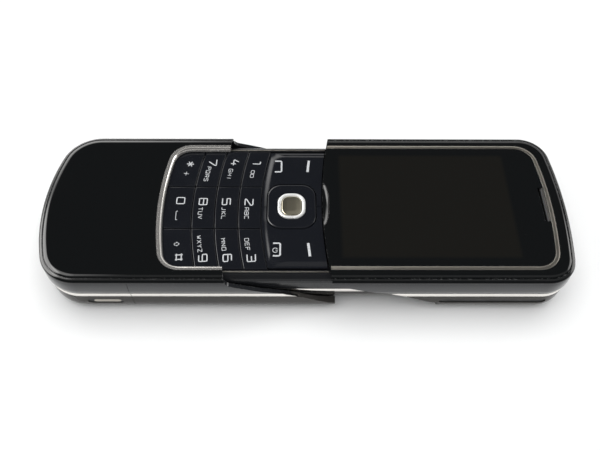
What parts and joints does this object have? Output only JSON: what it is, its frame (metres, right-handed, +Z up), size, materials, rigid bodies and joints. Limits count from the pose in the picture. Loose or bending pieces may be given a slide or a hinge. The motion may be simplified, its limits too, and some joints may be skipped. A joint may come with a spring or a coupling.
{
  "type": "slider phone",
  "caption": "Slider phone shown open: a smoked glass sleeve slides along the core to uncover or close a curved keypad below the display.",
  "frame": {"origin": "under the middle of the open phone, on the surface that it lies on", "axes": "+X along the phone towards the earpiece end, +Y towards the side of the digit 1, +Z up from the table through the front"},
  "size_m": [0.1322, 0.045, 0.016],
  "materials": {
    "smoked_glass": "polished, nearly opaque black",
    "gunmetal": "glossy dark grey",
    "core_black": "satin gloss black",
    "polished_steel": "mirror polished",
    "champagne_metal": "satin, warm grey",
    "key_black": "glossy blue-black",
    "key_rubber": "matt",
    "circuit_board": "solder mask green",
    "plain_steel": "satin",
    "battery_wrap": "smooth grey",
    "screen_glass": "dark screen, switched off",
    "lens_glass": "coated lens window",
    "black_plastic": "matt black"
  },
  "bodies": {
    "core": {"core_frame": "core_black", "core_case": "gunmetal", "core_stripe_left": "polished_steel", "core_stripe_right": "polished_steel", "keypad_trim_left": "champagne_metal", "keypad_trim_right": "champagne_metal", "keypad_mat": "key_rubber", "key_board": "circuit_board", "main_board": "circuit_board", "shield_can": "plain_steel", "battery": "battery_wrap", "sim_reader": "plain_steel", "camera_module": "black_plastic", "camera_ring": "polished_steel", "camera_window": "lens_glass", "vibration_motor": "plain_steel", "loudspeaker": "black_plastic", "speaker_mesh": "black_plastic", "earpiece_receiver": "black_plastic", "microphone": "plain_steel", "antenna_carrier": "black_plastic", "board_screw_lower_left": "plain_steel", "board_screw_lower_right": "plain_steel", "board_screw_upper_left": "plain_steel", "board_screw_upper_right": "plain_steel", "upper_shell": "gunmetal", "upper_stripe": "polished_steel", "display_glass": "smoked_glass", "display_ring": "champagne_metal", "earpiece_bar": "polished_steel", "display_module": "screen_glass"},
    "sleeve": {"sleeve_shell": "gunmetal", "end_cap": "gunmetal", "sleeve_cover": "smoked_glass", "keypad_ring": "polished_steel", "sleeve_stripe_left": "polished_steel", "sleeve_stripe_right": "polished_steel", "end_cap_stripe": "polished_steel", "socket_shell": "plain_steel", "socket_tongue": "black_plastic", "slide_rail_left": "plain_steel", "slide_rail_right": "plain_steel"},
    "digit_1": {"key_1": "key_black"},
    "digit_2": {"key_2": "key_black"},
    "digit_3": {"key_3": "key_black"},
    "digit_4": {"key_4": "key_black"},
    "digit_5": {"key_5": "key_black"},
    "digit_6": {"key_6": "key_black"},
    "digit_7": {"key_7": "key_black"},
    "digit_8": {"key_8": "key_black"},
    "digit_9": {"key_9": "key_black"},
    "digit_star": {"key_star": "key_black"},
    "digit_0": {"key_0": "key_black"},
    "digit_hash": {"key_hash": "key_black"},
    "function_left": {"function_key_left": "key_black"},
    "function_right": {"function_key_right": "key_black"},
    "pivot": {"navigation_pivot": "plain_steel"},
    "navigation": {"navigation_key": "key_black", "select_ring": "polished_steel"},
    "select": {"select_key": "champagne_metal"}
  },
  "joints": [
    {"name": "sleeve_slide", "type": "slide", "parent": "core", "child": "sleeve", "axis": [1, 0, 0], "range_m": [0, 0.0252]},
    {"name": "key_1_press", "type": "slide", "parent": "core", "child": "digit_1", "axis": [0, 0, -1], "range_m": [0, 0.0003], "stiffness_N_per_m": 500},
    {"name": "key_2_press", "type": "slide", "parent": "core", "child": "digit_2", "axis": [0, 0, -1], "range_m": [0, 0.0003], "stiffness_N_per_m": 500},
    {"name": "key_3_press", "type": "slide", "parent": "core", "child": "digit_3", "axis": [0, 0, -1], "range_m": [0, 0.0003], "stiffness_N_per_m": 500},
    {"name": "key_4_press", "type": "slide", "parent": "core", "child": "digit_4", "axis": [0, 0, -1], "range_m": [0, 0.0003], "stiffness_N_per_m": 500},
    {"name": "key_5_press", "type": "slide", "parent": "core", "child": "digit_5", "axis": [0, 0, -1], "range_m": [0, 0.0003], "stiffness_N_per_m": 500},
    {"name": "key_6_press", "type": "slide", "parent": "core", "child": "digit_6", "axis": [0, 0, -1], "range_m": [0, 0.0003], "stiffness_N_per_m": 500},
    {"name": "key_7_press", "type": "slide", "parent": "core", "child": "digit_7", "axis": [0, 0, -1], "range_m": [0, 0.0003], "stiffness_N_per_m": 500},
    {"name": "key_8_press", "type": "slide", "parent": "core", "child": "digit_8", "axis": [0, 0, -1], "range_m": [0, 0.0003], "stiffness_N_per_m": 500},
    {"name": "key_9_press", "type": "slide", "parent": "core", "child": "digit_9", "axis": [0, 0, -1], "range_m": [0, 0.0003], "stiffness_N_per_m": 500},
    {"name": "key_star_press", "type": "slide", "parent": "core", "child": "digit_star", "axis": [0, 0, -1], "range_m": [0, 0.0003], "stiffness_N_per_m": 500},
    {"name": "key_0_press", "type": "slide", "parent": "core", "child": "digit_0", "axis": [0, 0, -1], "range_m": [0, 0.0003], "stiffness_N_per_m": 500},
    {"name": "key_hash_press", "type": "slide", "parent": "core", "child": "digit_hash", "axis": [0, 0, -1], "range_m": [0, 0.0003], "stiffness_N_per_m": 500},
    {"name": "function_left_rock", "type": "hinge", "parent": "core", "child": "function_left", "pos_m": [-0.0034, 0, 0.013], "axis": [0, 1, 0], "range_deg": [-1.5, 1.5], "stiffness_Nm_per_rad": 0.3},
    {"name": "function_right_rock", "type": "hinge", "parent": "core", "child": "function_right", "pos_m": [-0.0034, 0, 0.013], "axis": [0, 1, 0], "range_deg": [-1.5, 1.5], "stiffness_Nm_per_rad": 0.3},
    {"name": "navigation_rock_lengthwise", "type": "hinge", "parent": "core", "child": "pivot", "pos_m": [-0.0034, 0, 0.013], "axis": [0, 1, 0], "range_deg": [-2, 2], "stiffness_Nm_per_rad": 0.3},
    {"name": "navigation_rock_sideways", "type": "hinge", "parent": "pivot", "child": "navigation", "pos_m": [-0.0034, 0, 0.013], "axis": [1, 0, 0], "range_deg": [-2, 2], "stiffness_Nm_per_rad": 0.3},
    {"name": "select_press", "type": "slide", "parent": "navigation", "child": "select", "axis": [0, 0, -1], "range_m": [0, 0.0003], "stiffness_N_per_m": 500}
  ]
}
